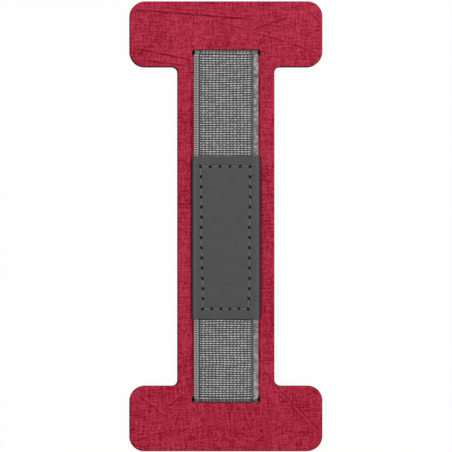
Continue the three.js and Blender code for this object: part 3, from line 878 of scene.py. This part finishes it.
def make_sleeve(places):
    section_x, section_z, outside = sleeve_section()
    low, high = sleeve_low[1], sleeve_high[1]
    count = round((high - low) / SLEEVE_GRID)
    inner_stations = np.linspace(low + SLEEVE_END_ROUND, high - SLEEVE_END_ROUND, count)
    ends = SLEEVE_END_ROUND * (1 - np.cos(np.linspace(0, math.pi / 2, 5)[:-1]))
    stations = np.concatenate([low + ends, inner_stations, (high - ends)[::-1]])
    x, y = np.meshgrid(section_x, stations)
    z = np.broadcast_to(section_z, x.shape).copy()
    from_end = np.minimum(y - low, high - y)
    on_front = (z > sleeve_high[2] - 0.001).astype(float)

    draw = np.random.default_rng(41)
    grain = random_field(x.shape, SLEEVE_GRID, 0.22, 0.22, draw)
    swell = random_field(x.shape, SLEEVE_GRID, 3, 4, draw)
    stitch, hole = seam_distance(x, y, places)
    bed = STITCH_BED_DEPTH * np.exp(-((stitch / STITCH_BED_WIDTH) ** 2))
    tuck = SEAM_TUCK_DEPTH * np.exp(-((stitch / SEAM_TUCK_WIDTH) ** 2))
    pit = NEEDLE_PIT_DEPTH * np.exp(-(hole**4))
    relief = on_front * (0.006 * grain + 0.02 * swell - bed - tuck - pit)

    corner = np.clip(1 - from_end / SLEEVE_CORNER_REACH, 0, 1) ** 2 * (np.abs(x) / sleeve_high[0]) ** 8
    round_off = np.clip(1 - from_end / SLEEVE_END_ROUND, 0, 1)
    round_off = SLEEVE_END_ROUND * (1 - np.sqrt(1 - round_off**2))
    side = np.sign(z - sleeve_middle) * np.clip(np.abs(z - sleeve_middle), 0, 1)
    pull = SLEEVE_CORNER_DRAW * corner + (SLEEVE_SIDE_DRAW + round_off) * (np.abs(x) / sleeve_high[0]) ** 8
    x = x - np.sign(x) * outside * pull
    z = z + relief - outside * round_off * side
    rings = np.stack([x, y, z], 2)
    faces = carried_ring_faces(len(stations), section_x.size).tolist() + closed_ends(rings, (0, 1, 0))
    from_side = sleeve_high[0] - SLEEVE_SIDE_DRAW - np.abs(x)
    # Painted highlight: the rounded sides of the sleeve are lightened, more on the left, away from the lamp
    side_highlight = np.clip(1.6 - from_side / 1.2, 0, 1) * (0.8 - 0.2 * np.sign(x))
    rolled = np.clip(1 - from_side / 0.6, 0, 1)
    # Painted shade: the outer rolled sides darken where they turn down to the cover; the cut ends get a faint
    # dark edge
    cut_end_and_side_shade = np.maximum(np.clip(1 - from_end / 0.35, 0, 1) * 0.3, rolled) * outside
    pricked = np.exp(-(hole**6)) * on_front
    dented = np.exp(-((stitch / STITCH_BED_WIDTH) ** 2)) * on_front
    marks = {"side_highlight": side_highlight, "cut_end_and_side_shade": cut_end_and_side_shade, "pricked": pricked, "dented": dented}
    flat_marks = {name: mark.ravel() for name, mark in marks.items()}
    return closed_piece("leather_sleeve", rings.reshape(-1, 3), faces, flat_marks)


def sleeve_finish():
    finish = Finish("grey_coated_leather")
    where = finish.place()
    pebbles = finish.cells(where, 2.6)
    pores = finish.noise(where, 6, detail=3, roughness=0.6)
    cloud = finish.noise(where, 0.25, detail=3)
    mottle = finish.noise(where, 1.5, detail=2)
    # Painted highlight along the sides, mixed with the leather's own cloudy tone
    tone = (finish.mark("side_highlight") * 0.65 + (cloud - 0.5) * 0.5 + (mottle - 0.5) * 1.0 + 0.07).clipped()
    leather = finish.blend(tone, paint(*SLEEVE_COLOUR), paint(*SLEEVE_SIDE_HIGHLIGHT))
    # Painted shade on the rolled sides and in the stitch beds, with the faint dark edge of the cut ends
    edged = (finish.mark("dented") * 0.1 + finish.mark("cut_end_and_side_shade")).clipped()
    pressed_shade = finish.blend(edged, leather, paint(*SLEEVE_EDGE))
    # Painted shade: the needle pits are darkened to black
    pricked = finish.blend((finish.mark("pricked") * 1.6).clipped(), pressed_shade, paint(*SLEEVE_HOLE_SHADE))
    return finish.surface({
        "Base Color": pricked,
        "Roughness": 0.6 + 0.15 * (pores - 0.5),
        "Normal": finish.bump(pebbles * -0.6 + pores * 0.6, 0.035),
        "Specular IOR Level": 0.3,
    })


needle_holes = needle_places()
leather_sleeve = make_sleeve(needle_holes)
leather_sleeve.data.materials.append(sleeve_finish())
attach(leather_sleeve, "root")
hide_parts("grip_sleeve")


# The needle thread is three plies of grey polyester twisted together. It lies on the face of the sleeve from
# hole to hole, and at each hole it dives through the leather to lock with the bobbin thread inside the band.
THREAD_RADIUS = 0.15
THREAD_STATIONS = 30
THREAD_SIDES = 12
THREAD_PLIES = 3
PLY_RELIEF = 0.13
TWIST_PITCH = 1.1
THREAD_DIVE = (0.14, 0.72)
LEG_RADIUS_SHARE = 0.6
TOP_THREAD_SINK = 0.06
UNDER_THREAD_SINK = 0.02
LOCK_GAP = 0.1
THREAD_COLOUR = (138, 138, 137)
THREAD_SHADE = (88, 88, 88)
THREAD_SUNK_SHADE = (3, 3, 3)


def thread_line(places, face, lock):
    """The middle line of one thread, its radius, and how far down its hole it is. Beside each hole the thread
    climbs on a smooth step of the distance from the hole, between the ends of the dive, and it is thinnest in
    the holes."""
    share = np.linspace(0, 1, THREAD_STATIONS, endpoint=False)
    from_hole = np.minimum(share, 1 - share) * STITCH_LENGTH
    step = np.clip((from_hole - THREAD_DIVE[0]) / (THREAD_DIVE[1] - THREAD_DIVE[0]), 0, 1)
    rise = 3 * step**2 - 2 * step**3
    start = places[:, None, :]
    way_vector = np.roll(places, -1, axis=0)[:, None, :] - start
    flat = start + way_vector * share[:, None]
    height = lock + (face - lock) * rise
    line = np.concatenate([flat, np.broadcast_to(height[:, None], flat.shape[:2] + (1,))], 2)
    radius = THREAD_RADIUS * (LEG_RADIUS_SHARE + (1 - LEG_RADIUS_SHARE) * rise)
    return line.reshape(-1, 3), np.tile(radius, len(places)), np.tile(1 - rise, len(places))


def make_thread(name, places, face, lock):
    """A tube round the thread's middle line, closed on itself. Its radius swells once for each ply, and the
    swellings turn as the thread goes on, which is the twist."""
    line, radius, sunk = thread_line(places, face, lock)
    ahead = np.roll(line, -1, axis=0) - np.roll(line, 1, axis=0)
    ahead = ahead / np.linalg.norm(ahead, axis=1)[:, None]
    stitch_way = np.roll(places, -1, axis=0) - places
    stitch_way = stitch_way / np.linalg.norm(stitch_way, axis=1)[:, None]
    side = np.stack([-stitch_way[:, 1], stitch_way[:, 0], np.zeros(len(places))], 1)
    side = np.repeat(side, THREAD_STATIONS, axis=0)
    up = np.cross(ahead, side)
    up = up / np.linalg.norm(up, axis=1)[:, None]
    side = np.cross(up, ahead)
    steps = np.linalg.norm(np.roll(line, -1, axis=0) - line, axis=1)
    turns = round(float(steps.sum()) / TWIST_PITCH)
    twist = np.cumsum(steps) / steps.sum() * turns * 2 * math.pi
    angle = np.linspace(0, 2 * math.pi, THREAD_SIDES, endpoint=False)
    swell = np.cos(THREAD_PLIES * angle - twist[:, None])
    reach = radius[:, None] * (1 - PLY_RELIEF + PLY_RELIEF * swell)
    ring = side[:, None, :] * (reach * np.cos(angle))[..., None]
    ring = ring + up[:, None, :] * (reach * np.sin(angle))[..., None]
    points = line[:, None, :] + ring
    number = np.arange(points.shape[0] * THREAD_SIDES).reshape(-1, THREAD_SIDES)
    after = np.roll(number, -1, axis=1)
    corners = [number, after, np.roll(after, -1, axis=0), np.roll(number, -1, axis=0)]
    faces = np.stack(corners, 2).reshape(-1, 4)
    marks = {"ply": (0.5 + 0.5 * swell).ravel(), "sunk": np.repeat(sunk, THREAD_SIDES)}
    return closed_piece(name, points.reshape(-1, 3), faces.tolist(), marks)


def thread_finish():
    finish = Finish("grey_polyester_thread")
    fuzz = finish.noise(finish.place(), 9, detail=3)
    tone = (finish.mark("ply") * 0.8 + fuzz * 0.4 - 0.1).clipped()
    twisted = finish.blend(tone, paint(*THREAD_SHADE), paint(*THREAD_COLOUR))
    # Painted shade: where the thread dives down its hole it darkens to black
    return finish.surface({
        "Base Color": finish.blend((finish.mark("sunk") * 4.0).clipped(), twisted, paint(*THREAD_SUNK_SHADE)),
        "Roughness": 0.6 + 0.2 * fuzz,
        "Normal": finish.bump(fuzz, 0.02),
        "Sheen Weight": 0.2,
    })


thread_material = thread_finish()
needle_low, needle_high = node_box("needle_thread")
top_face = needle_high[2] - THREAD_RADIUS - TOP_THREAD_SINK
top_lock = sleeve_middle + LOCK_GAP / 2 + THREAD_RADIUS
top_thread = make_thread("top_thread", needle_holes, top_face, top_lock)
top_thread.data.materials.append(thread_material)
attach(top_thread, "root")
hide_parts("needle_thread")


# The bobbin thread is the same grey thread on the back of the sleeve. It lies flat from hole to hole, and at
# every hole it turns up into the band to lock with the needle thread.
bobbin_low, bobbin_high = node_box("bobbin_thread")
under_face = bobbin_low[2] + THREAD_RADIUS + UNDER_THREAD_SINK
under_lock = sleeve_middle - LOCK_GAP / 2 - THREAD_RADIUS
under_thread = make_thread("under_thread", needle_holes, under_face, under_lock)
under_thread.data.materials.append(thread_material)
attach(under_thread, "root")
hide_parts("bobbin_thread")


# The strap lies on a plain white table under one large soft lamp at the upper right and a dim even sky. The
# camera looks straight down from as far away as a long lens stands.
FLOOR_SIZE = 3000
FLOOR_COLOUR = (246, 246, 246)
FLOOR_FIBRE = (252, 252, 252)
FLOOR_BOUNCE = (150, 150, 150)
FLOOR_WHITE_SHARE = 0.94
SEEN_BY = ("Camera", "Glossy", "Transmission")
PHOTO_WIDTH = 150.7
PHOTO_MIDDLE = (-0.06, 0.05)
SENSOR_WIDTH = 36
LENS = 150
KEY_PLACE = (300, 560, 1240)
KEY_SIZE = 800
KEY_WATTS = 8.4
FILL_LEVEL = 0.68


def make_floor():
    half = FLOOR_SIZE / 2
    corners = np.array([(-half, -half, 0), (half, -half, 0), (half, half, 0), (-half, half, 0)])
    mesh = bpy.data.meshes.new("floor")
    mesh.from_pydata((corners * METRE).tolist(), [], [[0, 1, 2, 3]])
    floor = bpy.data.objects.new("floor", mesh)
    bpy.context.scene.collection.objects.link(floor)
    return floor


def floor_finish():
    """White paper: seen by the camera or in a reflection it is nearly its own light, so that it stays white
    and shows only a faint shadow."""
    finish = Finish("white_table")
    grain = finish.noise(finish.place(), 0.5, detail=3)
    ray = {kind: finish.node("ShaderNodeLightPath", {}, {}, output=f"Is {kind} Ray") for kind in SEEN_BY}
    seen = (ray["Camera"] + ray["Glossy"] + ray["Transmission"]).clipped()
    paper = finish.blend(grain, paint(*FLOOR_COLOUR), paint(*FLOOR_FIBRE))
    bounced = finish.blend(seen, paint(*FLOOR_BOUNCE), paper)
    matt = finish.node("ShaderNodeBsdfDiffuse", {}, {"Color": bounced})
    glow = finish.node("ShaderNodeEmission", {}, {"Color": (1, 1, 1, 1), "Strength": 1.0})
    table = finish.node("ShaderNodeMixShader", {}, {0: seen * FLOOR_WHITE_SHARE, 1: matt, 2: glow})
    finish.node("ShaderNodeOutputMaterial", {}, {"Surface": table})
    return finish.material


floor = make_floor()
floor.data.materials.append(floor_finish())


def make_lamp(name, place, size, watts):
    """A square lamp that faces the middle of the strap."""
    light = bpy.data.lights.new(name, "AREA")
    light.size = size * METRE
    light.energy = watts
    lamp = bpy.data.objects.new(name, light)
    lamp.location = np.array(place) * METRE
    lamp.rotation_euler = lamp.location.to_track_quat("Z", "Y").to_euler()
    bpy.context.scene.collection.objects.link(lamp)


make_lamp("key_lamp", KEY_PLACE, KEY_SIZE, KEY_WATTS)


def make_sky():
    """An even sky that lights dimly and is white where the camera sees it."""
    world = bpy.data.worlds.new("studio")
    world.use_nodes = True
    nodes, links = world.node_tree.nodes, world.node_tree.links
    nodes.clear()
    path = nodes.new("ShaderNodeLightPath")
    level = nodes.new("ShaderNodeMapRange")
    level.inputs["To Min"].default_value = FILL_LEVEL
    level.inputs["To Max"].default_value = 1
    sky = nodes.new("ShaderNodeBackground")
    out = nodes.new("ShaderNodeOutputWorld")
    links.new(path.outputs["Is Camera Ray"], level.inputs["Value"])
    links.new(level.outputs["Result"], sky.inputs["Strength"])
    links.new(sky.outputs["Background"], out.inputs["Surface"])
    bpy.context.scene.world = world


make_sky()

lens = bpy.data.cameras.new("photo_camera")
lens.lens = LENS
lens.sensor_width = SENSOR_WIDTH
lens.clip_start = 0.01
lens.clip_end = 20
camera = bpy.data.objects.new("photo_camera", lens)
stand_off = PHOTO_WIDTH * LENS / SENSOR_WIDTH
camera.location = np.array([*PHOTO_MIDDLE, cover_high[2] + stand_off]) * METRE
bpy.context.scene.collection.objects.link(camera)
bpy.context.scene.camera = camera
bpy.context.scene.view_settings.view_transform = "Standard"
